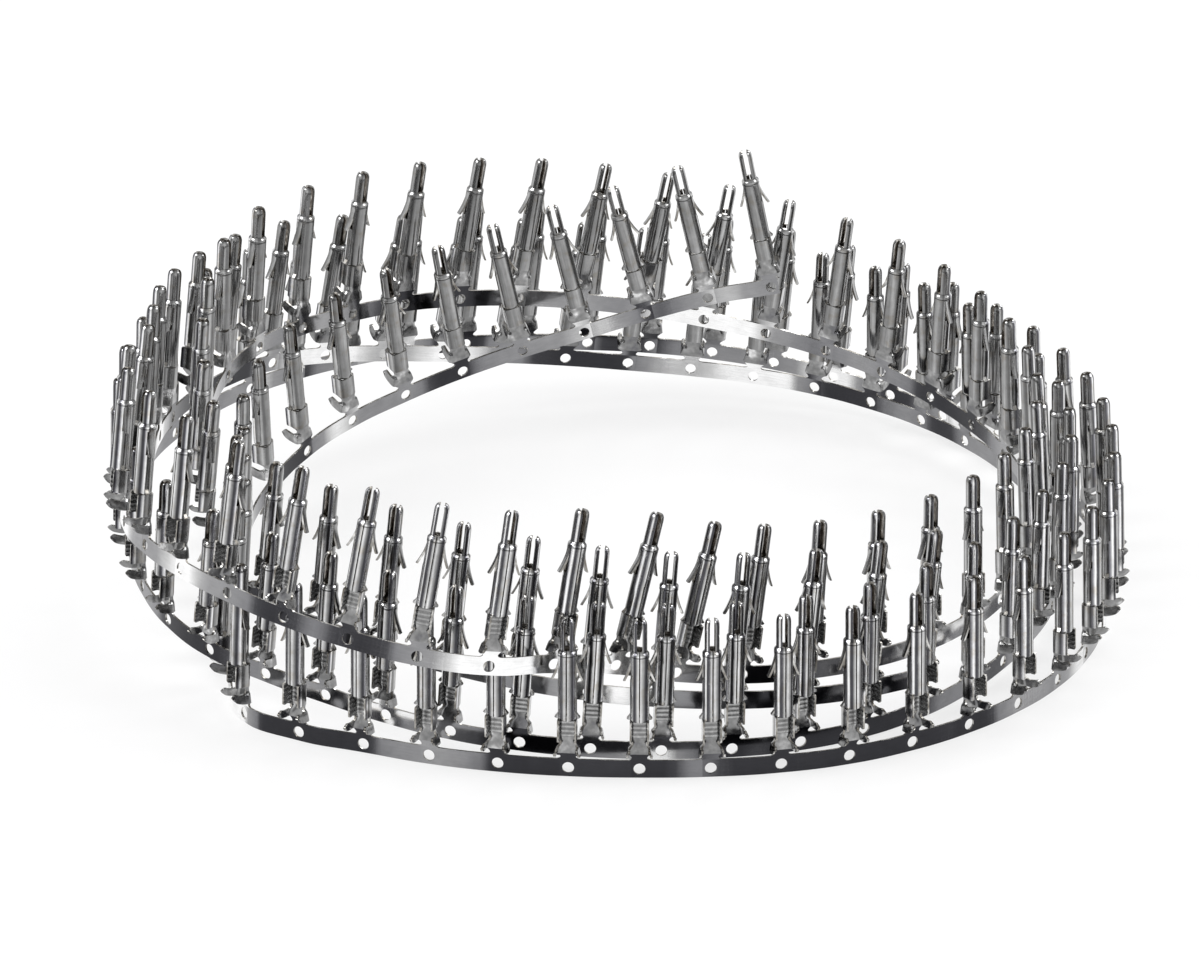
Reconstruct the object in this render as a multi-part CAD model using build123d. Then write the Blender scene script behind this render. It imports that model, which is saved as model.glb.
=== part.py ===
"""Loose coil of split-pin crimp contacts, still joined to the carrier strip that they were stamped with.

The whole strip is one piece of tin-plated brass sheet. It stands on the edge of its carrier and winds
round the Z axis. Millimetres, +Z up, the floor at Z = 0, the coil's middle on the Z axis.
"""
import os
from math import cos, degrees, hypot, radians, sin

from build123d import *

# Sheet and carrier
SHEET = 0.32
PITCH = 10.16
CARRIER_WIDTH = 2.7
PILOT_DIAMETER = 1.7
FLAT_LENGTH = 2.4

# Contact: heights are measured from the centre of its pilot hole
NECK_WIDTH = 1.7
WING_START = 2.6
WING_HEIGHT = 1.5
WING_SPAN = 3.5
WING_REACH = 3.4
BARREL_START = 4.8
BARREL_HEIGHT = 3.4
BARREL_SPAN = 2.75
BARREL_REACH = 2.6
TUBE_TOP = 18.5
TUBE_DIAMETER = 2.75
SEAM_GAP = 0.15
STOP_TAB_START = 8.3
STOP_TAB_REACH = 0.45
STOP_TAB_HEIGHT = 0.7
SHOULDER_LENGTH = 0.5
PIN_DIAMETER = 2.13
PIN_LENGTH = 5.1
PIN_TIP_DIAMETER = 0.9
PIN_TIP_LENGTH = 1.1
SLOT_WIDTH = 0.5
LANCE_LENGTH = 3.6
LANCE_SPREAD = 1.0
LANCE_WIDTH = 0.9
LANCE_THICKNESS = 0.2
LANCE_CLEARANCE = 0.05
LANCE_TOP_MARGIN = 0.6

# Middle of the coil's outline, seen from the point that the route turns about
COIL_MIDDLE = (-0.4, -4.0)

# Route of the strip: angle round the coil, radius and height of the pilot holes, and how far
# the contacts lean outward, in degrees. Picked by hand, a few points to each turn.
ROUTE = [
    (63.7, 53.6, 26.0, -5),
    (73, 50.4, 24.3, -8),
    (83.5, 48.0, 22.0, -10),
    (95, 46.3, 19.6, -10),
    (106, 46.6, 17.4, -10),
    (130, 49.5, 12.8, -10),
    (152, 54.0, 8.8, -6),
    (172, 57.0, 4.5, -4),
    (192, 58.0, 1.5, -4),
    (208, 63.5, 1.35, -4),
    (224, 77.0, 1.35, -3),
    (240, 74.5, 1.35, -2),
    (270, 72.6, 1.35, -2),
    (300, 76.0, 1.35, -2),
    (324, 77.0, 1.35, -2),
    (360, 73.6, 1.35, -3),
    (380, 73.2, 1.35, -4),
    (386, 73.0, 1.4, -4),
    (404, 71.9, 2.9, -5),
    (430, 68.6, 6.4, -5),
    (460, 64.9, 9.9, -5),
    (488, 66.1, 12.5, -5),
    (515, 70.8, 13.0, -4),
    (545, 74.8, 12.0, -2),
    (577, 75.8, 7.6, 0),
    (590, 71.5, 5.6, 0),
    (610, 69.9, 3.8, 0),
    (632, 68.4, 2.2, 0),
    (656, 69.8, 1.8, 0),
    (695, 67.5, 2.4, 0),
    (722, 67.0, 2.6, -2),
    (751, 66.1, 4.0, -4),
    (780, 64.8, 5.0, -5),
    (810, 60.0, 8.0, -5),
    (838, 61.0, 12.0, -5),
    (864, 68.1, 16.3, -5),
    (890, 70.3, 18.7, -4),
    (900, 70.5, 20.2, -4),
    (908, 71.6, 21.2, -5),
    (914, 73.95, 22.1, -6),
    (922, 79.4, 23.2, -6),
    (930, 82.2, 24.0, -7),
    (938, 83.4, 24.4, -7),
    (947, 83.6, 24.0, -6),
    (958, 82.4, 22.2, -6),
    (968, 79.6, 19.8, -6),
    (975, 76.7, 18.3, -5),
    (982, 70.4, 16.5, -3),
    (989, 65.35, 14.2, -2),
    (997, 61.6, 11.0, -2),
    (1012, 60.6, 8.6, -2),
    (1030, 61.8, 7.6, -2),
    (1060, 62.5, 7.0, -3),
    (1105, 63.0, 9.4, -5),
    (1130, 61.0, 13.0, -5),
    (1155, 57.0, 17.2, -5),
    (1190, 53.2, 23.3, -5),
    (1218, 54.5, 26.6, -6),
    (1245, 60.5, 27.0, -6),
    (1275, 64.5, 21.0, -4),
    (1287, 67.45, 17.6, -3),
    (1296, 68.7, 15.4, -2),
    (1308, 67.6, 13.8, -1),
    (1322, 65.0, 12.0, 0),
    (1346, 63.6, 9.0, 0),
    (1372, 65.6, 6.9, 0),
    (1392, 65.6, 4.5, 0),
]

UPWARD = (Align.CENTER, Align.CENTER, Align.MIN)


def route_slopes(knots, values):
    """Slope of one column of the route at each of its points."""
    spans = [b - a for a, b in zip(knots, knots[1:])]
    rises = [(b - a) / span for a, b, span in zip(values, values[1:], spans)]
    inner = [
        (rises[i] * spans[i + 1] + rises[i + 1] * spans[i]) / (spans[i] + spans[i + 1])
        for i in range(len(rises) - 1)
    ]
    return [rises[0], *inner, rises[-1]]


ROUTE_ANGLES = [row[0] for row in ROUTE]
ROUTE_COLUMNS = [[row[c] for row in ROUTE] for c in (1, 2, 3)]
ROUTE_SLOPES = [route_slopes(ROUTE_ANGLES, column) for column in ROUTE_COLUMNS]


def route_at(angle):
    """Point of the route at an angle, and the outward lean there."""
    i = 0
    while i < len(ROUTE) - 2 and angle > ROUTE_ANGLES[i + 1]:
        i += 1
    span = ROUTE_ANGLES[i + 1] - ROUTE_ANGLES[i]
    t = (angle - ROUTE_ANGLES[i]) / span
    s = 1 - t
    radius, height, lean = (
        s * s * (1 + 2 * t) * values[i]
        + t * t * (1 + 2 * s) * values[i + 1]
        + s * t * span * (s * slopes[i] - t * slopes[i + 1])
        for values, slopes in zip(ROUTE_COLUMNS, ROUTE_SLOPES)
    )
    x = radius * cos(radians(angle)) - COIL_MIDDLE[0]
    y = radius * sin(radians(angle)) - COIL_MIDDLE[1]
    return Vector(x, y, height), lean


def pilot_holes():
    """Centres of the pilot holes, one straight pitch apart along the route, with their leans."""
    angle = ROUTE_ANGLES[0]
    holes = [route_at(angle)]
    while True:
        last = holes[-1][0]
        step = degrees(PITCH / hypot(last.X + COIL_MIDDLE[0], last.Y + COIL_MIDDLE[1]))
        angle += step
        for _ in range(8):
            miss = PITCH - (route_at(angle)[0] - last).length
            angle += step * miss / PITCH
        if angle > ROUTE_ANGLES[-1]:
            return holes
        holes.append(route_at(angle))


def contact_planes(holes):
    """A plane at each pilot hole: x along the strip, y outward through the sheet, z up the contact."""
    centres = [centre for centre, lean in holes]
    planes = []
    for i, (centre, lean) in enumerate(holes):
        before = centres[max(i - 1, 0)]
        after = centres[min(i + 1, len(centres) - 1)]
        along = (before - after).normalized()
        upright = (Vector(0, 0, 1) - along * along.Z).normalized()
        outward = upright.cross(along)
        axis = upright * cos(radians(lean)) + outward * sin(radians(lean))
        planes.append(Plane(centre, x_dir=along, z_dir=axis))
    return planes


def carrier(planes):
    """The band: flat round each pilot hole, and bent on both sides of it to follow the route."""
    half = CARRIER_WIDTH / 2
    corners = [(0, -half), (SHEET, -half), (SHEET, half), (0, half)]
    sections = [
        Wire.make_polygon([plane.from_local_coords((x, y, z)) for y, z in corners])
        for plane in planes
        for x in (FLAT_LENGTH / 2, -FLAT_LENGTH / 2)
    ]
    band = Solid.make_loft(sections, ruled=True)
    drill = Cylinder(PILOT_DIAMETER / 2, 8 * SHEET, rotation=(90, 0, 0))
    return band - [drill.moved(plane.location) for plane in planes]


def u_channel(span, reach, start, height, corner):
    """A bent U of sheet, open outward, with the ends of its two legs rounded if they have a corner."""
    outer = Pos(0, reach / 2, start) * Box(span, reach, height, align=UPWARD)
    outer = fillet(outer.edges().filter_by(Axis.Z).sort_by(Axis.Y)[:2], 2 * SHEET)
    inner = Box(span - 2 * SHEET, reach - SHEET, height, align=UPWARD)
    inner = Pos(0, (reach + SHEET) / 2, start) * inner
    inner = fillet(inner.edges().filter_by(Axis.Z).sort_by(Axis.Y)[:2], SHEET)
    channel = outer - inner
    if corner:
        channel = fillet(channel.edges().filter_by(Axis.X).group_by(Axis.Y)[-1], corner)
    return channel


def pin_body():
    """Rolled tube, shoulder and two-pronged pin, turned about the contact's axis."""
    tube_r = TUBE_DIAMETER / 2
    pin_r = PIN_DIAMETER / 2
    tip_r = PIN_TIP_DIAMETER / 2
    tube_start = BARREL_START + BARREL_HEIGHT
    pin_start = TUBE_TOP + SHOULDER_LENGTH
    pin_top = TUBE_TOP + PIN_LENGTH
    nose_start = pin_top - PIN_TIP_LENGTH
    nose_out = (tip_r + (pin_r - tip_r) * 0.75, nose_start + PIN_TIP_LENGTH * 0.6)
    with BuildPart() as body:
        with BuildSketch(Plane.XZ):
            with BuildLine():
                Line((tube_r - SHEET, tube_start), (tube_r, tube_start))
                Line((tube_r, tube_start), (tube_r, TUBE_TOP))
                Line((tube_r, TUBE_TOP), (pin_r, pin_start))
                Line((pin_r, pin_start), (pin_r, nose_start))
                ThreePointArc((pin_r, nose_start), nose_out, (tip_r, pin_top))
                Line((tip_r, pin_top), (tip_r - SHEET / 2, pin_top))
                Line((tip_r - SHEET / 2, pin_top), (pin_r - SHEET, nose_start))
                Line((pin_r - SHEET, nose_start), (pin_r - SHEET, pin_start - SHEET))
                Line((pin_r - SHEET, pin_start - SHEET), (tube_r - SHEET, TUBE_TOP - SHEET))
                Line((tube_r - SHEET, TUBE_TOP - SHEET), (tube_r - SHEET, tube_start))
            make_face()
        revolve(axis=Axis.Z)
    slot = Box(SLOT_WIDTH, TUBE_DIAMETER, PIN_LENGTH, align=UPWARD)
    seam = Box(SEAM_GAP, TUBE_DIAMETER, TUBE_TOP - SHOULDER_LENGTH - tube_start, align=UPWARD)
    return body.part - Pos(0, 0, pin_start) * slot - Pos(0, tube_r, tube_start) * seam


def lance(side):
    """Locking lance, cut from the tube's wall below the shoulder and sprung out sideways."""
    wall = TUBE_DIAMETER / 2
    top = TUBE_TOP - LANCE_TOP_MARGIN
    inner = wall - SHEET + LANCE_CLEARANCE / 2
    foot = wall + LANCE_SPREAD
    profile = Polyline(
        (inner, top + LANCE_CLEARANCE),
        (inner + LANCE_THICKNESS * 0.8, top + LANCE_CLEARANCE),
        (foot, top - LANCE_LENGTH),
        (foot - LANCE_THICKNESS, top - LANCE_LENGTH),
        close=True,
    )
    blade = extrude(Plane.XZ * make_face(profile), LANCE_WIDTH / 2, both=True)
    return blade if side > 0 else mirror(blade, Plane.YZ)


def lance_window():
    """Opening left in both walls of the tube where the lances came from."""
    width = LANCE_WIDTH + 2 * LANCE_CLEARANCE
    window = Box(2 * TUBE_DIAMETER, width, LANCE_LENGTH, align=UPWARD)
    return Pos(0, 0, TUBE_TOP - LANCE_TOP_MARGIN - LANCE_LENGTH) * window


def stop_tabs():
    """Pair of small ears near the foot of the tube, which stop the contact in its cavity."""
    span = TUBE_DIAMETER + 2 * STOP_TAB_REACH
    ears = Pos(0, 0, STOP_TAB_START) * Box(span, 2 * SHEET, STOP_TAB_HEIGHT, align=UPWARD)
    return ears - Cylinder(TUBE_DIAMETER / 2 - SHEET / 2, 4 * STOP_TAB_START)


def contact():
    """One contact on its pilot hole, with the sheet's back in the plane y = 0."""
    barrel_top = BARREL_START + BARREL_HEIGHT
    neck_bottom = PILOT_DIAMETER / 2 + SHEET / 2
    neck = Box(NECK_WIDTH, SHEET, WING_START - neck_bottom, align=UPWARD)
    neck = Pos(0, SHEET / 2, neck_bottom) * neck
    floor = Box(BARREL_SPAN - 4 * SHEET, SHEET, barrel_top - WING_START, align=UPWARD)
    floor = Pos(0, SHEET / 2, WING_START) * floor
    wings = u_channel(WING_SPAN, WING_REACH, WING_START, WING_HEIGHT, WING_HEIGHT * 0.35)
    barrel = u_channel(BARREL_SPAN, BARREL_REACH, BARREL_START, BARREL_HEIGHT, 0)
    body = pin_body() - lance_window() + stop_tabs() + [lance(1), lance(-1)]
    body = Pos(0, TUBE_DIAMETER / 2, 0) * body
    return neck + floor + wings + barrel + body


if __name__ == "__main__":
    planes = contact_planes(pilot_holes())
    one = contact()
    strip = carrier(planes) + [one.moved(plane.location) for plane in planes]
    os.makedirs("parts", exist_ok=True)
    export_step(strip, "parts/terminal_strip.step", write_pcurves=False)
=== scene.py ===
"""Looks of the coiled strip of split-pin crimp contacts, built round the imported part. Metres, +Z up."""
import math

import bpy
import numpy as np
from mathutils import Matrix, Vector


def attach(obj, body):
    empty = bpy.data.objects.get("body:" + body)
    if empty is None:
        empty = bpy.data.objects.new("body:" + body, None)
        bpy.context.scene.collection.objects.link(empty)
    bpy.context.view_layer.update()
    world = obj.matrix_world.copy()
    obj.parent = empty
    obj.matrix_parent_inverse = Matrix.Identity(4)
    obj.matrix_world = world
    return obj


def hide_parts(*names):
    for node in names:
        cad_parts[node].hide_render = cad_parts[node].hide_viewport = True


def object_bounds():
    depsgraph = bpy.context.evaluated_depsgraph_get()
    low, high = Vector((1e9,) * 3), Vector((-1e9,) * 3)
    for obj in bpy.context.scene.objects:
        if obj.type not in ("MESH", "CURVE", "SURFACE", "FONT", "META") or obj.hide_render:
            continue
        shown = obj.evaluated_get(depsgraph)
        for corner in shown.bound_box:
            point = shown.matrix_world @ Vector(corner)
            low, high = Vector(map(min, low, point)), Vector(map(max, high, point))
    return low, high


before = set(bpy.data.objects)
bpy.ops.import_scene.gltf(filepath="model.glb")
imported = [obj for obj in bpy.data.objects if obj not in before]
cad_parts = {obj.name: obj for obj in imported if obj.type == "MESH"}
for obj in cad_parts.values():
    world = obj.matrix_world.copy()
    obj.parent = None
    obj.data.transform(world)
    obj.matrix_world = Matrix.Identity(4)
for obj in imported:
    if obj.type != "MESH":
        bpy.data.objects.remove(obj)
cad_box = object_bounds()

MM = 0.001
NODE = "terminal_strip"
PLAIN, EDGE, FORMED, DRAWN, COINED, INSIDE = range(6)

# Sizes of the strip, in millimetres, as in the part's source; heights are above the pilot holes
SHEET = 0.32
PITCH = 10.16
CARRIER_WIDTH = 2.7
PILOT_R = 0.85
FLAT_LENGTH = 2.4
BARREL_START = 4.8
BARREL_HALF = 1.375
BARREL_REACH = 2.6
TUBE_START = 8.2
TUBE_R = 1.375
PIN_START = 19.0
PIN_R = 1.065
PIN_TOP = 23.6
NOSE_START = 22.5
LANCE_TOP = 17.9
LANCE_LENGTH = 3.6
LANCE_FOOT = LANCE_TOP - LANCE_LENGTH
LANCE_SPREAD = 1.0
COIL_MIDDLE = (-0.4, -4.0)

# Forms that are finer here than in the part's source, in millimetres and radians
WING_RISE = 0.6
WING_CORNER = 0.5
WAIST_CORNER = 0.05
BARREL_CORNER = 0.2
RIDGES = 5
RIDGE_DEPTH = 0.13
SEAM_HALF_ANGLE = 0.055
WINDOW_ANGLES = (1.2, 1.94)
SLOT_HALF = 0.4
SLOT_CLOSING = 0.1
PRONG_WALL = 0.3
TIP_R = 0.6
NOSE_POWER = 2.4
NOSE_DIP = 0.14
LANCE_ROOT_HALF = 0.48
LANCE_TAPER = 0.1
LANCE_DEPTH = 0.36
LANCE_POWER = 1.6
LANCE_CROWN = 0.06

# How the strip is divided, and how far each contact turns round its tube, in degrees and millimetres
CONTACTS_PER_PIECE = 26
CONTACTS_PER_CARRIER = 3 * CONTACTS_PER_PIECE
TURN_SPREAD = 0.9
TURN_START = 1.5
TURN_FADE = 3.0

# How the meshes are joined, shaded and numbered, in millimetres, and the depth of fine relief in metres
WELD_GAP = 0.002
SHARP_ANGLE = math.radians(38)
NUMBER_STEP = 0.37
RELIEF = 0.00005

# Route of the strip: angle round the coil, radius, height and outward lean, as in the part's source
ROUTE = [
    (63.7, 53.6, 26.0, -5),
    (73, 50.4, 24.3, -8),
    (83.5, 48.0, 22.0, -10),
    (95, 46.3, 19.6, -10),
    (106, 46.6, 17.4, -10),
    (130, 49.5, 12.8, -10),
    (152, 54.0, 8.8, -6),
    (172, 57.0, 4.5, -4),
    (192, 58.0, 1.5, -4),
    (208, 63.5, 1.35, -4),
    (224, 77.0, 1.35, -3),
    (240, 74.5, 1.35, -2),
    (270, 72.6, 1.35, -2),
    (300, 76.0, 1.35, -2),
    (324, 77.0, 1.35, -2),
    (360, 73.6, 1.35, -3),
    (380, 73.2, 1.35, -4),
    (386, 73.0, 1.4, -4),
    (404, 71.9, 2.9, -5),
    (430, 68.6, 6.4, -5),
    (460, 64.9, 9.9, -5),
    (488, 66.1, 12.5, -5),
    (515, 70.8, 13.0, -4),
    (545, 74.8, 12.0, -2),
    (577, 75.8, 7.6, 0),
    (590, 71.5, 5.6, 0),
    (610, 69.9, 3.8, 0),
    (632, 68.4, 2.2, 0),
    (656, 69.8, 1.8, 0),
    (695, 67.5, 2.4, 0),
    (722, 67.0, 2.6, -2),
    (751, 66.1, 4.0, -4),
    (780, 64.8, 5.0, -5),
    (810, 60.0, 8.0, -5),
    (838, 61.0, 12.0, -5),
    (864, 68.1, 16.3, -5),
    (890, 70.3, 18.7, -4),
    (900, 70.5, 20.2, -4),
    (908, 71.6, 21.2, -5),
    (914, 73.95, 22.1, -6),
    (922, 79.4, 23.2, -6),
    (930, 82.2, 24.0, -7),
    (938, 83.4, 24.4, -7),
    (947, 83.6, 24.0, -6),
    (958, 82.4, 22.2, -6),
    (968, 79.6, 19.8, -6),
    (975, 76.7, 18.3, -5),
    (982, 70.4, 16.5, -3),
    (989, 65.35, 14.2, -2),
    (997, 61.6, 11.0, -2),
    (1012, 60.6, 8.6, -2),
    (1030, 61.8, 7.6, -2),
    (1060, 62.5, 7.0, -3),
    (1105, 63.0, 9.4, -5),
    (1130, 61.0, 13.0, -5),
    (1155, 57.0, 17.2, -5),
    (1190, 53.2, 23.3, -5),
    (1218, 54.5, 26.6, -6),
    (1245, 60.5, 27.0, -6),
    (1275, 64.5, 21.0, -4),
    (1287, 67.45, 17.6, -3),
    (1296, 68.7, 15.4, -2),
    (1308, 67.6, 13.8, -1),
    (1322, 65.0, 12.0, 0),
    (1346, 63.6, 9.0, 0),
    (1372, 65.6, 6.9, 0),
    (1392, 65.6, 4.5, 0),
]


def route_slopes(knots, values):
    """Slope of one column of the route at each of its points."""
    spans = [b - a for a, b in zip(knots, knots[1:])]
    rises = [(b - a) / span for a, b, span in zip(values, values[1:], spans)]
    inner = [
        (rises[i] * spans[i + 1] + rises[i + 1] * spans[i]) / (spans[i] + spans[i + 1])
        for i in range(len(rises) - 1)
    ]
    return [rises[0], *inner, rises[-1]]


ANGLES = [row[0] for row in ROUTE]
COLUMNS = [[row[c] for row in ROUTE] for c in (1, 2, 3)]
SLOPES = [route_slopes(ANGLES, column) for column in COLUMNS]


def route_at(angle):
    """Point of the route at an angle, and the outward lean there."""
    i = 0
    while i < len(ROUTE) - 2 and angle > ANGLES[i + 1]:
        i += 1
    span = ANGLES[i + 1] - ANGLES[i]
    t = (angle - ANGLES[i]) / span
    s = 1 - t
    from_point, to_point = s * s * (1 + 2 * t), t * t * (1 + 2 * s)
    radius, height, lean = (
        from_point * v[i] + to_point * v[i + 1] + s * t * span * (s * k[i] - t * k[i + 1])
        for v, k in zip(COLUMNS, SLOPES)
    )
    x = radius * math.cos(math.radians(angle)) - COIL_MIDDLE[0]
    y = radius * math.sin(math.radians(angle)) - COIL_MIDDLE[1]
    return Vector((x, y, height)), lean


def pilot_holes():
    """Centres of the pilot holes, one straight pitch apart along the route, with their leans."""
    angle = ANGLES[0]
    holes = [route_at(angle)]
    while True:
        last = holes[-1][0]
        step = math.degrees(PITCH / math.hypot(last.x + COIL_MIDDLE[0], last.y + COIL_MIDDLE[1]))
        angle += step
        for _ in range(8):
            miss = PITCH - (route_at(angle)[0] - last).length
            angle += step * miss / PITCH
        if angle > ANGLES[-1]:
            return holes
        holes.append(route_at(angle))


def hole_frames(holes):
    """Each hole's centre and axes: x along the strip, y outward through the sheet, z up the contact."""
    centres = [centre for centre, lean in holes]
    places = []
    for i, (centre, lean) in enumerate(holes):
        before = centres[max(i - 1, 0)]
        after = centres[min(i + 1, len(centres) - 1)]
        x = (before - after).normalized()
        up = (Vector((0, 0, 1)) - x * x.z).normalized()
        out = up.cross(x)
        tilt = math.radians(lean)
        z = up * math.cos(tilt) + out * math.sin(tilt)
        y = z.cross(x)
        places.append((np.array(centre), np.array([x, y, z])))
    return places


class Shells:
    """Collects quads of bent sheet: points, faces, material index and UV of each face corner."""

    def __init__(self):
        self.points = []
        self.faces = []
        self.slots = []
        self.uvs = []

    def add(self, points, faces, slot, uvs):
        base = len(self.points)
        self.points.extend(points)
        self.faces.extend([tuple(base + i for i in face) for face in faces])
        self.slots.extend([slot] * len(faces))
        self.uvs.extend(uvs)

    def sheet(self, outer, inner, uv, slots, mask=None, flip=False):
        """Two skins given as grids of points, joined by a rim wherever the mask ends.

        A skin has its own slot. The columns are flipped where a mirrored sheet would turn inside out.
        """
        step = -1 if flip else 1
        outer, inner, uv = (np.array(grid)[:, ::step] for grid in (outer, inner, uv))
        rows, cols = outer.shape[:2]
        keep = np.ones((rows - 1, cols - 1), bool) if mask is None else mask
        index = np.arange(rows * cols).reshape(rows, cols)
        total = rows * cols
        points = [tuple(p) for p in outer.reshape(-1, 3)] + [tuple(p) for p in inner.reshape(-1, 3)]
        flat_uv = [tuple(p) for p in uv.reshape(-1, 2)]
        fronts, backs, rims = [], [], []
        for r, c in zip(*np.nonzero(keep)):
            a, b = index[r, c], index[r, c + 1]
            d, e = index[r + 1, c], index[r + 1, c + 1]
            fronts.append((a, b, e, d))
            backs.append((a + total, d + total, e + total, b + total))
            sides = (
                (r > 0 and keep[r - 1, c], b, a),
                (r < rows - 2 and keep[r + 1, c], d, e),
                (c > 0 and keep[r, c - 1], a, d),
                (c < cols - 2 and keep[r, c + 1], e, b),
            )
            rims.extend((p, q, q + total, p + total) for neighbour, p, q in sides if not neighbour)
        for skin, slot in zip((fronts, backs), slots):
            self.add(points, skin, slot, [[flat_uv[i % total] for i in face] for face in skin])
        for face in rims:
            self.add([points[i] for i in face], [(0, 1, 2, 3)], EDGE, [[flat_uv[i % total] for i in face]])


def grid_uv(us, vs):
    """UVs in millimetres over a grid of rows vs and columns us."""
    u, v = np.meshgrid(us, vs)
    return np.stack([u, v], -1)


def channel(shells, rows, corner, slots, rise=0.0, ridge_depth=0.0):
    """U of bent sheet, open outward. Rows give height, half width and reach.

    The ends of its legs are rounded and may rise, and its inside may have cross ridges.
    """
    bottom, top = rows[0][0], rows[-1][0]
    middle, half = (bottom + top) / 2, (top - bottom) / 2
    bend = 1.5 * SHEET
    outer, inner, uv = [], [], []
    for z, width, reach in rows:
        flat, leg = width - 2 * SHEET, reach - 2 * SHEET
        wave = 2 * math.pi * RIDGES * (z - bottom) / (top - bottom)
        depth = SHEET / 2 - ridge_depth * (1 - math.cos(wave)) / 2
        # Half of the section, from its middle: x, y, the normal's x and y, height, and distance round it
        side = [(flat * 0.75, SHEET / 2, 0.0, -1.0, z, flat * 0.75)]
        for t in (0.0, 0.25, 0.5, 0.75, 1.0):
            a = math.pi / 2 * t
            x, y = flat + bend * math.sin(a), SHEET / 2 + bend * (1 - math.cos(a))
            side.append((x, y, math.sin(a), -math.cos(a), z, flat + bend * a))
        for t in (0.25, 0.5, 0.72, 0.86, 0.95, 1.0):
            hang = max(0.0, leg * (t - 1) + corner)
            shrink = (half - corner + math.sqrt(max(corner * corner - hang * hang, 0.0))) / half
            height = middle + (z - middle) * max(shrink, 0.02) + rise * t * t
            along = flat + bend * math.pi / 2 + leg * t
            side.append((width - SHEET / 2, SHEET / 2 + bend + leg * t, 1.0, 0.0, height, along))
        mirrored = [(-x, y, -nx, ny, h, -u) for x, y, nx, ny, h, u in reversed(side)]
        row = [*mirrored, (0.0, SHEET / 2, 0.0, -1.0, z, 0.0), *side]
        outer.append([(x + nx * SHEET / 2, y + ny * SHEET / 2, h) for x, y, nx, ny, h, u in row])
        inner.append([(x - nx * depth, y - ny * depth, h) for x, y, nx, ny, h, u in row])
        uv.append([(u, h) for x, y, nx, ny, h, u in row])
    shells.sheet(outer, inner, uv, slots)


def neck(shells):
    """Flat sheet between carrier and wings, narrowest in its middle."""
    rows = ((1.35, 1.6), (1.4, 1.36), (1.5, 1.18), (1.65, 1.08), (1.85, 1.14), (2.05, 1.3), (2.25, 1.55))
    across = np.linspace(-1, 1, 5)
    outer = np.array([[(w * half, 0.0, z) for w in across] for z, half in rows])
    inner = outer + np.array([0, SHEET, 0])
    shells.sheet(outer, inner, grid_uv(across, [z for z, half in rows]), (PLAIN, PLAIN))


def wings(shells):
    """Insulation wings, widest at the foot, their ends rising a little."""
    rows = [
        (2.25, 1.9, 3.0), (2.4, 1.88, 3.2), (2.65, 1.83, 3.35), (2.95, 1.76, 3.4), (3.25, 1.68, 3.35),
        (3.5, 1.6, 3.1),
    ]
    channel(shells, rows, WING_CORNER, (FORMED, FORMED), WING_RISE)


def waist(shells):
    """Low narrow channel between the wings and the conductor barrel."""
    rows = [
        (3.5, 1.6, 1.5), (3.65, 1.45, 1.05), (3.85, 1.28, 0.85), (4.15, 1.2, 0.78), (4.45, 1.24, 0.85),
        (4.65, 1.32, 1.1), (BARREL_START, BARREL_HALF, 1.6),
    ]
    channel(shells, rows, WAIST_CORNER, (FORMED, FORMED))


def barrel(shells):
    """Conductor barrel, with three rows to each of the ridges inside it."""
    heights = np.linspace(BARREL_START, TUBE_START, 3 * RIDGES + 1)
    rows = [(z, BARREL_HALF, BARREL_REACH) for z in heights]
    channel(shells, rows, BARREL_CORNER, (DRAWN, COINED), ridge_depth=RIDGE_DEPTH)


def round_skin(profile, angles):
    """Grid of points round the tube's axis. The profile gives height and radius."""
    return [[(r * math.sin(a), TUBE_R - r * math.cos(a), z) for a in angles] for z, r in profile]


def tube(shells):
    """Rolled tube with its seam facing outward, its shoulder and the two lance windows."""
    window_start, window_end = WINDOW_ANGLES
    half_turn = [
        0.0, 0.2, 0.42, 0.65, 0.92, window_start, 1.3, 1.43, 1.57, 1.71, 1.84, window_end,
        2.2, 2.42, 2.64, 2.86, math.pi - SEAM_HALF_ANGLE,
    ]
    angles = np.array([-a for a in reversed(half_turn[1:])] + half_turn)
    profile = [
        (TUBE_START, TUBE_R - 0.1), (TUBE_START + 0.12, TUBE_R - 0.02), (TUBE_START + 0.4, TUBE_R),
        (LANCE_FOOT, TUBE_R), (LANCE_TOP, TUBE_R), (18.1, TUBE_R), (18.16, TUBE_R - 0.03), (18.22, TUBE_R),
        (18.46, TUBE_R), (18.56, TUBE_R - 0.035), (18.7, PIN_R + 0.15), (18.84, PIN_R + 0.025),
        (PIN_START, PIN_R),
    ]
    outer = round_skin(profile, angles)
    inner = round_skin([(z, r - SHEET) for z, r in profile], angles)
    heights = np.array([z for z, r in profile])
    middle_height = (heights[1:] + heights[:-1]) / 2
    middle_angle = np.abs(angles[1:] + angles[:-1]) / 2
    beside = (LANCE_FOOT < middle_height) & (middle_height < LANCE_TOP)
    facing = (window_start < middle_angle) & (middle_angle < window_end)
    mask = ~(beside[:, None] & facing[None, :])
    shells.sheet(outer, inner, grid_uv(angles * TUBE_R, heights), (DRAWN, INSIDE), mask)


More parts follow.
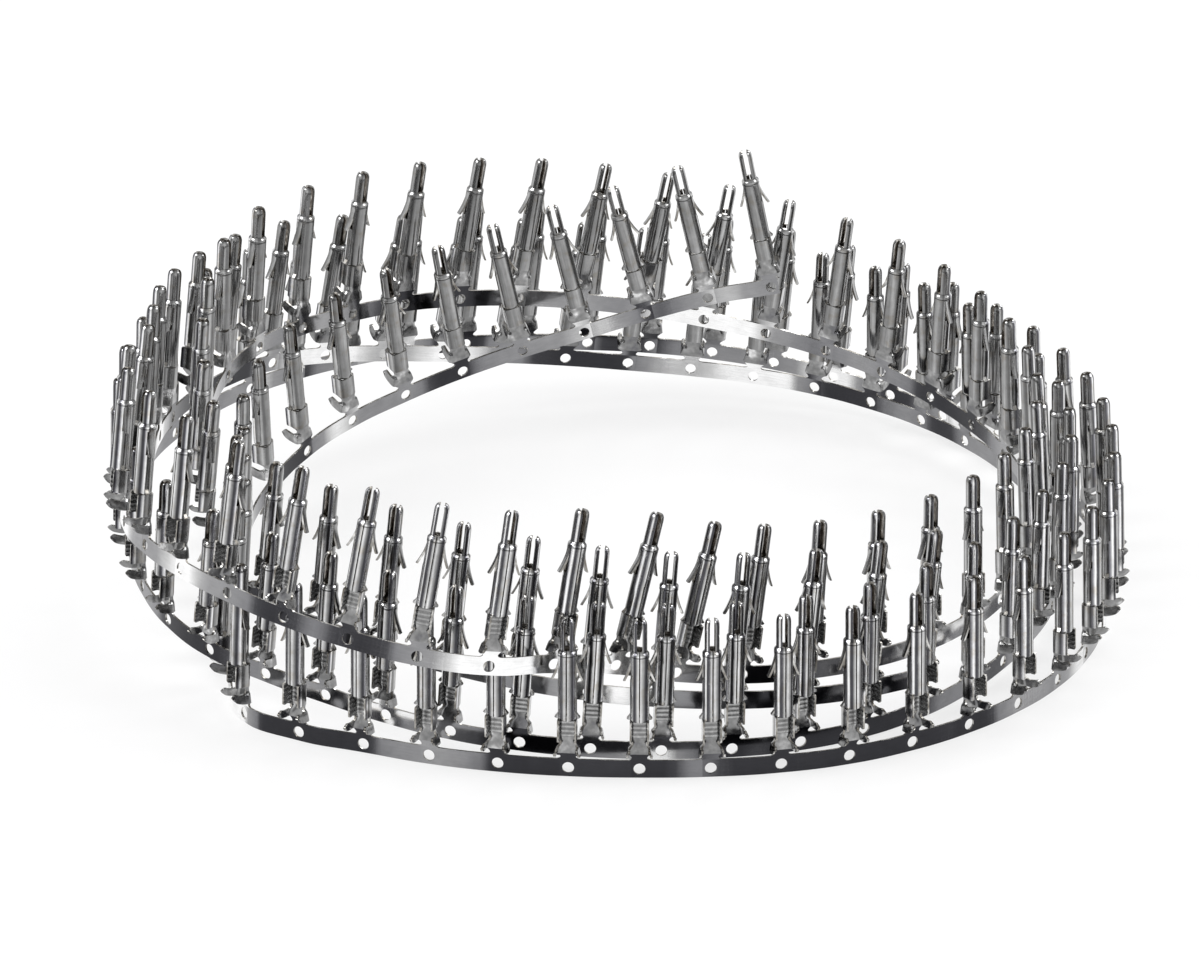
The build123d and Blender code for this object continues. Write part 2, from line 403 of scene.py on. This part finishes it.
def prong(shells, side):
    """One half of the split pin, its nose curving in over the slot."""
    nose = PIN_TOP - NOSE_START
    profile = [(PIN_START, PIN_R), (NOSE_START - 0.7, PIN_R), (NOSE_START, PIN_R)]
    for t in (0.22, 0.42, 0.6, 0.75, 0.88, 0.96, 1.0):
        drop = 1 - math.sqrt(max(0.0, 1 - t ** NOSE_POWER))
        profile.append((NOSE_START + nose * t, PIN_R - (PIN_R - TIP_R) * drop))
    outer, inner, uv = [], [], []
    for z, r in profile:
        bow = max(0.0, (z - NOSE_START) / nose)
        slot = SLOT_HALF - SLOT_CLOSING * bow * bow
        start = math.asin(slot / r)
        angles = np.linspace(start, math.pi - start, 13)
        inside = r - min(PRONG_WALL, r - slot - 0.03)
        low = z - NOSE_DIP * bow
        outer.append([(side * r * math.sin(a), TUBE_R - r * math.cos(a), z) for a in angles])
        inner.append([
            (side * max(inside * math.sin(a), slot), TUBE_R - inside * math.cos(a), low) for a in angles
        ])
        uv.append([(side * a * TUBE_R, z) for a in angles])
    shells.sheet(outer, inner, uv, (DRAWN, INSIDE), flip=side < 0)


def lance(shells, side):
    """Sprung locking lance, curving out of the tube's wall towards its free foot."""
    root = SHEET * 0.3
    steps = (-0.03, 0.12, 0.26, 0.42, 0.58, 0.74, 0.88, 1.0)
    heights = [LANCE_TOP - LANCE_LENGTH * t for t in steps]
    across = (-1, -0.4, 0.4, 1)
    outer, inner = [], []
    for t, z in zip(steps, heights):
        out = TUBE_R - root + (LANCE_SPREAD + root) * max(t, 0.0) ** LANCE_POWER
        half = LANCE_ROOT_HALF - LANCE_TAPER * t
        outer.append([(side * (out - LANCE_CROWN * w * w), TUBE_R + w * half, z) for w in across])
        inner.append([(side * (out - LANCE_DEPTH), TUBE_R + w * half, z) for w in across])
    uv = grid_uv([side * u for u in (1.5, 1.8, 2.1, 2.4)], heights)
    shells.sheet(outer, inner, uv, (DRAWN, DRAWN), flip=side > 0)


def stop_tab(shells, side):
    """Small ear at the foot of the tube. Its rows give height and reach."""
    rows = ((8.28, 0.2), (8.4, 0.45), (8.55, 0.42), (8.75, 0.22), (9.05, 0.04))
    half = SHEET * 0.8
    outer, inner = [], []
    for z, reach in rows:
        xs = (TUBE_R - SHEET * 0.6, TUBE_R + reach * 0.5, TUBE_R + reach)
        outer.append([(side * x, TUBE_R - half, z) for x in xs])
        inner.append([(side * x, TUBE_R + half, z) for x in xs])
    uv = grid_uv([side * u for u in (1.6, 1.9, 2.2)], [z for z, reach in rows])
    shells.sheet(outer, inner, uv, (DRAWN, DRAWN), flip=side < 0)


def contact_shells():
    """One contact on its pilot hole, in millimetres."""
    shells = Shells()
    neck(shells)
    wings(shells)
    waist(shells)
    barrel(shells)
    tube(shells)
    for side in (-1, 1):
        prong(shells, side)
        lance(shells, side)
        stop_tab(shells, side)
    return shells


def flat_shells():
    """Flat of the carrier round a pilot hole, with the hole's wall."""
    shells = Shells()
    count = 24
    half_l, half_w = FLAT_LENGTH / 2, CARRIER_WIDTH / 2
    rim, edge = [], []
    for k in range(count):
        a = 2 * math.pi * k / count
        c, s = math.cos(a), math.sin(a)
        scale = 1 / max(abs(c) / half_l, abs(s) / half_w)
        rim.append((PILOT_R * c, PILOT_R * s))
        edge.append((scale * c, scale * s))
    for corner in ((half_l, half_w), (-half_l, half_w), (-half_l, -half_w), (half_l, -half_w)):
        turn = math.atan2(corner[1], corner[0]) / (2 * math.pi)
        edge[round(turn * count) % count] = corner
    following = [(k + 1) % count for k in range(count)]
    for y, turned_over in ((0.0, True), (SHEET, False)):
        points = [(x, y, z) for x, z in rim + edge]
        faces = [(k, j, j + count, k + count) for k, j in enumerate(following)]
        if turned_over:
            faces = [face[::-1] for face in faces]
        shells.add(points, faces, PLAIN, [[(-points[i][0], points[i][2]) for i in face] for face in faces])
    for loop, turned_over in ((rim, False), (edge, True)):
        for k, j in enumerate(following):
            p, q = loop[k], loop[j]
            wall = [(p[0], 0.0, p[1]), (q[0], 0.0, q[1]), (q[0], SHEET, q[1]), (p[0], SHEET, p[1])]
            if turned_over:
                wall = wall[::-1]
            shells.add(wall, [(0, 1, 2, 3)], EDGE, [[(x, z) for x, y, z in wall]])
    return shells


def link_shells(a, b, travel):
    """Stretch of carrier between two holes' flats, bent smoothly from one to the other."""
    shells = Shells()
    centre_a, (along_a, out_a, up_a) = a
    centre_b, (along_b, out_b, up_b) = b
    half = FLAT_LENGTH / 2
    start, end = centre_a - along_a * half, centre_b + along_b * half
    gap = np.linalg.norm(end - start)
    across = np.linspace(-CARRIER_WIDTH / 2, CARRIER_WIDTH / 2, 4)
    steps = np.linspace(0, 1, 7)
    outer, inner = [], []
    for t in steps:
        s = 1 - t
        middle = s * s * (1 + 2 * t) * start + t * t * (1 + 2 * s) * end
        middle -= s * t * gap * (s * along_a - t * along_b)
        up = up_a * s + up_b * t
        out = out_a * s + out_b * t
        up, out = up / np.linalg.norm(up), out / np.linalg.norm(out)
        outer.append([middle + up * w for w in across])
        inner.append([middle + up * w + out * SHEET for w in across])
    uv = grid_uv(across, travel + half + steps * gap)[:, :, ::-1]
    shells.sheet(outer, inner, uv, (PLAIN, PLAIN))
    return shells


def weld(shells):
    """Points that meet become one, so the shells are closed and shade smoothly."""
    points = np.array(shells.points)
    keys = np.round(points / WELD_GAP).astype(np.int64)
    _, first, inverse = np.unique(keys, axis=0, return_index=True, return_inverse=True)
    inverse = inverse.reshape(-1)
    faces, slots, uvs = [], [], []
    for face, slot, uv in zip(shells.faces, shells.slots, shells.uvs):
        corners = [int(inverse[i]) for i in face]
        if len(set(corners)) == 4:
            faces.append(corners)
            slots.append(slot)
            uvs.append(uv)
    return points[first], faces, slots, uvs


def placed(hole_frame, points):
    """Points of a hole's own frame, in metres in the coil's."""
    centre, axes = hole_frame
    return (points @ axes + centre) * MM


def turned(points, twist):
    """Points of one contact, turned a little round its tube from the neck upward."""
    share = np.clip((points[:, 2] - TURN_START) / TURN_FADE, 0, 1)
    x, y = points[:, 0], points[:, 1] - TUBE_R
    c, s = math.cos(twist), math.sin(twist)
    moved = points.copy()
    moved[:, 0] += share * (x * c - y * s - x)
    moved[:, 1] += share * (x * s + y * c - y)
    return moved


def shifted(uvs, slots, travel):
    """UVs in which the plain sheet counts its place along the whole strip."""
    return [[(u + travel, v) for u, v in face] if slot == PLAIN else face for face, slot in zip(uvs, slots)]


def make_piece(name, chunks, materials):
    """One object from chunks of (points in metres, faces, slots, uvs, index along the strip)."""
    points, faces, slots, uvs, numbers = [], [], [], [], []
    base = 0
    for chunk_points, chunk_faces, chunk_slots, chunk_uvs, index in chunks:
        points.append(chunk_points)
        faces.extend([[base + i for i in face] for face in chunk_faces])
        slots.extend(chunk_slots)
        uvs.extend(corner for face in chunk_uvs for corner in face)
        numbers.extend([(index * NUMBER_STEP, 0.0)] * sum(len(face) for face in chunk_faces))
        base += len(chunk_points)
    low, high = np.array(cad_box[0]), np.array(cad_box[1])
    points = np.clip(np.concatenate(points), low, high)
    mesh = bpy.data.meshes.new(name)
    mesh.from_pydata(points.tolist(), [], faces)
    mesh.polygons.foreach_set("material_index", slots)
    mesh.uv_layers.new(name="sheet").data.foreach_set("uv", np.array(uvs, np.float32).ravel())
    mesh.uv_layers.new(name="which").data.foreach_set("uv", np.array(numbers, np.float32).ravel())
    mesh.shade_smooth()
    mesh.set_sharp_from_angle(angle=SHARP_ANGLE)
    for material in materials:
        mesh.materials.append(material)
    mesh.validate()
    piece = bpy.data.objects.new(name, mesh)
    bpy.context.scene.collection.objects.link(piece)
    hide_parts(NODE)
    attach(piece, "root")


def grey(value, blue=1.0):
    """A neutral grey, or a cooler one."""
    return (value, value, value * blue)


def greys(*stops):
    """Stops of a ramp, each a position and what grey takes."""
    return [(stop[0], grey(*stop[1:])) for stop in stops]


class Nodes:
    """Small helper that adds nodes to a material or a world and links their inputs."""

    def __init__(self, owner):
        owner.use_nodes = True
        self.owner = owner
        self.tree = owner.node_tree
        self.tree.nodes.clear()

    def add(self, kind, inputs=None, **settings):
        node = self.tree.nodes.new(kind)
        for key, value in settings.items():
            setattr(node, key, value)
        for key, value in (inputs or {}).items():
            if isinstance(value, bpy.types.NodeSocket):
                self.tree.links.new(value, node.inputs[key])
            else:
                node.inputs[key].default_value = value
        return node

    def math(self, operation, a, b=0.0):
        return self.add("ShaderNodeMath", {0: a, 1: b}, operation=operation).outputs[0]

    def vector(self, x, y, z=0.0):
        return self.add("ShaderNodeCombineXYZ", {0: x, 1: y, 2: z}).outputs[0]

    def scaled(self, value, low, high, to_low, to_high):
        """A value mapped from one range to another."""
        inputs = {"Value": value, 1: low, 2: high, 3: to_low, 4: to_high}
        return self.add("ShaderNodeMapRange", inputs).outputs[0]

    def ramp(self, factor, stops):
        node = self.add("ShaderNodeValToRGB", {"Fac": factor})
        elements = node.color_ramp.elements
        while len(elements) < len(stops):
            elements.new(1.0)
        for element, (position, colour) in zip(elements, stops):
            element.position = position
            element.color = (*colour, 1.0)
        return node.outputs["Color"]

    def times(self, colour, factor, stops):
        """A colour multiplied by a ramp over a factor."""
        inputs = {0: 1.0, 6: colour, 7: self.ramp(factor, stops)}
        return self.add("ShaderNodeMix", inputs, data_type="RGBA", blend_type="MULTIPLY").outputs[2]

    def noise(self, vector, scale, detail=2.0, rough=0.5):
        inputs = {"Vector": vector, "Scale": scale, "Detail": detail, "Roughness": rough}
        return self.add("ShaderNodeTexNoise", inputs).outputs["Fac"]


class Finish(Nodes):
    """One finish of the sheet, with the places that its textures read.

    u and v are in millimetres, number differs by contact, and spot is all three as one vector.
    """

    def __init__(self, name):
        super().__init__(bpy.data.materials.new(name))
        self.u, self.v = self.add("ShaderNodeSeparateXYZ", {0: self.layer("sheet")}).outputs[:2]
        self.number = self.add("ShaderNodeSeparateXYZ", {0: self.layer("which")}).outputs[0]
        self.spot = self.vector(self.u, self.v, self.math("MULTIPLY", self.number, 3.0))

    def layer(self, name):
        return self.add("ShaderNodeUVMap", uv_map=name).outputs[0]

    def own_shift(self, reach):
        """A number of each contact's own, up to reach either way."""
        own = self.add("ShaderNodeTexWhiteNoise", {"W": self.number}, noise_dimensions="1D")
        return self.scaled(own.outputs["Value"], 0.0, 1.0, -reach, reach)

    def spread(self, noise, low, high):
        """A noise, which mostly lies between 0.3 and 0.7, mapped to a range."""
        return self.scaled(noise, 0.3, 0.7, low, high)

    def metal(self, colour, rough, height, strength, distance=RELIEF):
        """Metal shader over a colour, a roughness and a height for its relief."""
        relief = self.add("ShaderNodeBump", {"Height": height, "Strength": strength, "Distance": distance})
        shader = self.add("ShaderNodeBsdfPrincipled", {
            "Base Color": colour, "Metallic": 1.0, "Roughness": rough, "Normal": relief.outputs[0],
        })
        self.add("ShaderNodeOutputMaterial", {"Surface": shader.outputs[0]})
        return self.owner


def carrier_tin():
    """Bright rolled tin: smooth, with dark and bright reflections painted into its tone, changing slowly
    along the strip and stepping at each bend.
    """
    n = Finish("carrier_tin")
    # Painted reflections: a slow noise along the strip, plus a step of each contact's own, sets the tone
    # from near-black bluish to near-white
    reflection_sweep = n.noise(n.vector(n.math("MULTIPLY", n.u, 0.045), 2.6), 1.0, 1.0)
    level = n.math("ADD", n.scaled(reflection_sweep, 0.37, 0.63, 0.0, 1.0), n.own_shift(0.12))
    tone = n.ramp(level, greys(
        (0.04, 0.04, 1.12), (0.16, 0.06, 1.1), (0.28, 0.22, 1.05), (0.66, 0.31, 1.02), (0.76, 0.55),
        (0.88, 0.95),
    ))
    lines = n.noise(n.vector(n.math("MULTIPLY", n.u, 0.1), n.v), 4.0)
    scuff = n.noise(n.spot, 0.5, 3.0, 0.55)
    tone = n.times(tone, lines, greys((0.35, 0.96), (0.65, 1.04)))
    tone = n.times(tone, scuff, greys((0.3, 0.92), (0.5, 1.0), (0.72, 1.07)))
    return n.metal(tone, n.spread(scuff, 0.1, 0.2), lines, 0.03)


def sheared_edge():
    """Cut edge of the sheet: plating smeared over warm brass."""
    n = Finish("sheared_edge")
    smear = n.noise(n.spot, 0.6)
    tone = n.ramp(smear, [
        (0.32, (0.17, 0.155, 0.135)), (0.45, (0.3, 0.285, 0.26)), (0.55, (0.42, 0.41, 0.39)),
        (0.68, (0.75, 0.74, 0.72)),
    ])
    return n.metal(tone, n.spread(smear, 0.36, 0.22), smear, 0.3)


def formed_tin():
    """Smooth folded tin of the wings and the waist above them, its tone mottled at random, with dark
    reflections and bright highlights painted in.
    """
    n = Finish("formed_tin")
    mottle_and_sheen = n.noise(n.spot, 0.42)
    fine = n.noise(n.spot, 1.6)
    # Random mottling of the tone; its dark end paints reflections and its bright end paints highlights
    tone = n.ramp(mottle_and_sheen, greys((0.3, 0.17, 1.05), (0.42, 0.23), (0.56, 0.29), (0.64, 0.4), (0.72, 0.75)))
    tone = n.times(tone, fine, greys((0.32, 0.86), (0.5, 1.0), (0.68, 1.16)))
    return n.metal(tone, n.spread(fine, 0.14, 0.24), mottle_and_sheen, 0.3, 2 * RELIEF)


def drawn_tin():
    """Rolled tin of tube, pin and lances: polished, with dark and bright streaks painted in as reflections.

    One ramp paints these reflections round the tube, and another paints shade into the groove and the pin's
    foot and a highlight onto the ring at its shoulder.
    """
    n = Finish("drawn_tin")
    sway = n.noise(n.vector(n.math("MULTIPLY", n.v, 0.08), n.number), 1.2)
    turn = n.math("ADD", n.math("MULTIPLY", n.u, 1 / (2 * math.pi * TUBE_R)), 0.5)
    turn = n.math("ADD", turn, n.own_shift(0.022))
    turn = n.math("ADD", turn, n.spread(sway, -0.005, 0.005))
    # Painted reflections: dark, bluish and bright streaks set by the angle round the tube, a little
    # different for each contact
    tone = n.ramp(turn, greys(
        (0.0, 0.2), (0.02, 0.7), (0.055, 0.32), (0.1, 0.045, 1.12), (0.135, 0.06, 1.12), (0.15, 0.28, 1.08),
        (0.185, 0.85), (0.215, 0.1), (0.26, 0.22), (0.33, 0.42), (0.38, 0.13), (0.44, 0.22), (0.5, 0.25),
        (0.56, 0.36), (0.61, 0.2), (0.66, 0.1), (0.7, 0.55), (0.74, 0.2), (0.78, 0.055, 1.1),
        (0.82, 0.24, 1.08), (0.865, 0.95), (0.89, 0.06, 1.12), (0.93, 0.07, 1.12), (0.95, 0.3), (0.98, 0.66),
        (1.0, 0.2),
    ))
    along = n.vector(n.u, n.math("MULTIPLY", n.v, 0.06), n.math("MULTIPLY", n.number, 9.0))
    roll_marks_and_sheen = n.noise(along, 1.7, 3.0, 0.6)
    patch = n.noise(n.spot, 0.55, 3.0, 0.6)
    shoulder_shade_and_highlight = n.scaled(n.v, 17.0, 20.0, 0.0, 1.0)
    # Painted reflection streaks running up the tube, from the same noise that gives the fine relief
    tone = n.times(tone, roll_marks_and_sheen, greys((0.3, 0.8), (0.5, 1.03), (0.7, 1.35)))
    tone = n.times(tone, patch, [(0.32, (0.9, 0.86, 0.8)), (0.46, grey(1.0)), (0.68, grey(1.15))])
    # Painted shade in the shoulder's groove and at the pin's foot, and a painted highlight on the shoulder
    # ring between them
    tone = n.times(tone, shoulder_shade_and_highlight, greys(
        (0.35, 1.0), (0.38, 0.35), (0.405, 0.35), (0.43, 1.12), (0.5, 1.5), (0.61, 1.1), (0.64, 0.35),
        (0.68, 1.0),
    ))
    return n.metal(tone, n.spread(patch, 0.12, 0.22), roll_marks_and_sheen, 0.15)


def coined_tin():
    """Inside of the barrel: soft cross ridges that were coined into it, with painted shade and highlight in
    bands along them.
    """
    n = Finish("coined_tin")
    fine = n.noise(n.spot, 1.2, 3.0, 0.55)
    above = n.math("SUBTRACT", n.v, BARREL_START)
    turns = 2 * math.pi * RIDGES / (TUBE_START - BARREL_START)
    # Painted shade and highlight: the tone darker and lighter in bands that follow the ridges
    ridge_shade_and_highlight = n.scaled(n.math("SINE", n.math("MULTIPLY", above, turns)), -1.0, 1.0, 0.0, 1.0)
    tone = n.ramp(ridge_shade_and_highlight, greys((0.0, 0.19), (0.35, 0.25), (0.7, 0.31), (1.0, 0.46)))
    tone = n.times(tone, fine, greys((0.32, 0.8), (0.5, 1.0), (0.68, 1.3)))
    return n.metal(tone, n.spread(fine, 0.18, 0.3), fine, 0.3, 2 * RELIEF)


def shaded_tin():
    """Inside of the tube and of the pin's two prongs: darker, as painted shade of the hollow, warm and dull.
    """
    n = Finish("shaded_tin")
    wear_and_shade = n.noise(n.spot, 0.9, 3.0, 0.6)
    # Painted shade: the inside's tone kept dark, varying at random
    tone = n.ramp(wear_and_shade, [(0.32, (0.1, 0.085, 0.07)), (0.5, (0.24, 0.215, 0.19)), (0.66, (0.5, 0.48, 0.45))])
    return n.metal(tone, n.spread(wear_and_shade, 0.35, 0.22), wear_and_shade, 0.25)


def contacts(places, materials):
    """Every contact, from one template, each turned by a trace of its own."""
    template, faces, slots, uvs = weld(contact_shells())
    rng = np.random.default_rng(7)
    for start in range(0, len(places), CONTACTS_PER_PIECE):
        chunks = []
        for index in range(start, min(start + CONTACTS_PER_PIECE, len(places))):
            points = placed(places[index], turned(template, math.radians(rng.normal(0, TURN_SPREAD))))
            chunks.append((points, faces, slots, shifted(uvs, slots, index * PITCH), index))
        make_piece(f"contacts_{start // CONTACTS_PER_PIECE + 1}", chunks, materials)


def carrier(places, materials):
    """The band that joins the contacts: a flat at each pilot hole and a bent link between two."""
    flat, flat_faces, flat_slots, flat_uvs = weld(flat_shells())
    for start in range(0, len(places), CONTACTS_PER_CARRIER):
        chunks = []
        for index in range(start, min(start + CONTACTS_PER_CARRIER, len(places))):
            travel = index * PITCH
            uvs = shifted(flat_uvs, flat_slots, travel)
            chunks.append((placed(places[index], flat), flat_faces, flat_slots, uvs, index))
            if index + 1 < len(places):
                link, faces, slots, uvs = weld(link_shells(places[index], places[index + 1], travel))
                chunks.append((link * MM, faces, slots, uvs, index))
        make_piece(f"carrier_{start // CONTACTS_PER_CARRIER + 1}", chunks, materials)


# The strip; its materials are in the order of the slots' numbers
strip_materials = [carrier_tin(), sheared_edge(), formed_tin(), drawn_tin(), coined_tin(), shaded_tin()]
strip_places = hole_frames(pilot_holes())
contacts(strip_places, strip_materials)
carrier(strip_places, strip_materials)


# Floor, world, lamps and camera
def pale_floor():
    """Pale paper under the coil, lifted towards white for camera, glossy and transmission rays."""
    n = Nodes(bpy.data.materials.new("studio_floor"))
    paper = n.add("ShaderNodeBsdfPrincipled", {
        "Base Color": (0.86, 0.86, 0.86, 1.0), "Roughness": 0.9, "Specular IOR Level": 0.1,
    })
    path = n.add("ShaderNodeLightPath")
    seen = n.math("MAXIMUM", path.outputs["Is Camera Ray"], path.outputs["Is Glossy Ray"])
    seen = n.math("MAXIMUM", seen, path.outputs["Is Transmission Ray"])
    glow = n.add("ShaderNodeEmission", {"Color": (1.0, 1.0, 1.0, 1.0), "Strength": 1.0})
    share = n.math("MULTIPLY", seen, 0.72)
    lifted = n.add("ShaderNodeMixShader", {0: share, 1: paper.outputs[0], 2: glow.outputs[0]})
    n.add("ShaderNodeOutputMaterial", {"Surface": lifted.outputs[0]})
    half = 6
    corners = [(-half, -half, 0), (half, -half, 0), (half, half, 0), (-half, half, 0)]
    mesh = bpy.data.meshes.new("studio_floor")
    mesh.from_pydata(corners, [], [(0, 1, 2, 3)])
    mesh.materials.append(n.owner)
    floor = bpy.data.objects.new("studio_floor", mesh)
    floor.location.z = cad_box[0][2] - 0.00002
    bpy.context.scene.collection.objects.link(floor)


def soft_world():
    """Even grey light on the object. Camera and glossy rays see a sky, palest at the horizon and below."""
    world = bpy.data.worlds.new("studio")
    n = Nodes(world)
    direction = n.add("ShaderNodeTexCoord").outputs["Generated"]
    height = n.add("ShaderNodeSeparateXYZ", {0: direction}).outputs[2]
    shown = n.add("ShaderNodeBackground", {"Color": n.ramp(height, greys((0.0, 0.95), (1.0, 0.35)))})
    fill = n.add("ShaderNodeBackground", {"Color": (0.62, 0.62, 0.63, 1.0)})
    path = n.add("ShaderNodeLightPath")
    seen = n.math("MAXIMUM", path.outputs["Is Camera Ray"], path.outputs["Is Glossy Ray"])
    switch = n.add("ShaderNodeMixShader", {0: seen, 1: fill.outputs[0], 2: shown.outputs[0]})
    n.add("ShaderNodeOutputWorld", {"Surface": switch.outputs[0]})
    bpy.context.scene.world = world


def softbox(name, position, target, width, height, power):
    """Large soft area lamp aimed at a point."""
    data = bpy.data.lights.new(name, "AREA")
    data.shape = "RECTANGLE"
    data.size, data.size_y = width, height
    data.energy = power
    lamp = bpy.data.objects.new(name, data)
    lamp.location = position
    lamp.rotation_euler = (Vector(target) - Vector(position)).to_track_quat("-Z", "Y").to_euler()
    bpy.context.scene.collection.objects.link(lamp)


def photo_camera():
    """Camera at the photograph's angle: it looks 24 degrees down, from nearly a metre away."""
    aim = Vector((-0.0029, 0.0040, 0.0140))
    down = math.radians(24)
    distance = 0.985
    data = bpy.data.cameras.new("camera")
    data.sensor_width = 36.0
    data.lens = 194.3
    camera = bpy.data.objects.new("camera", data)
    camera.location = aim + Vector((0, -math.cos(down), math.sin(down))) * distance
    camera.rotation_euler = (math.pi / 2 - down, 0, 0)
    bpy.context.scene.collection.objects.link(camera)
    bpy.context.scene.camera = camera


pale_floor()
soft_world()
softbox("key", (-0.85, -0.25, 0.8), (0, 0, 0.01), 0.7, 0.6, 9.0)
softbox("rim", (0.5, 0.9, 0.8), (0, 0, 0.02), 0.7, 0.4, 6.0)
softbox("side", (0.9, -0.15, 0.75), (0, 0, 0.02), 0.5, 0.6, 6.0)
photo_camera()
bpy.context.scene.view_settings.view_transform = "Standard"
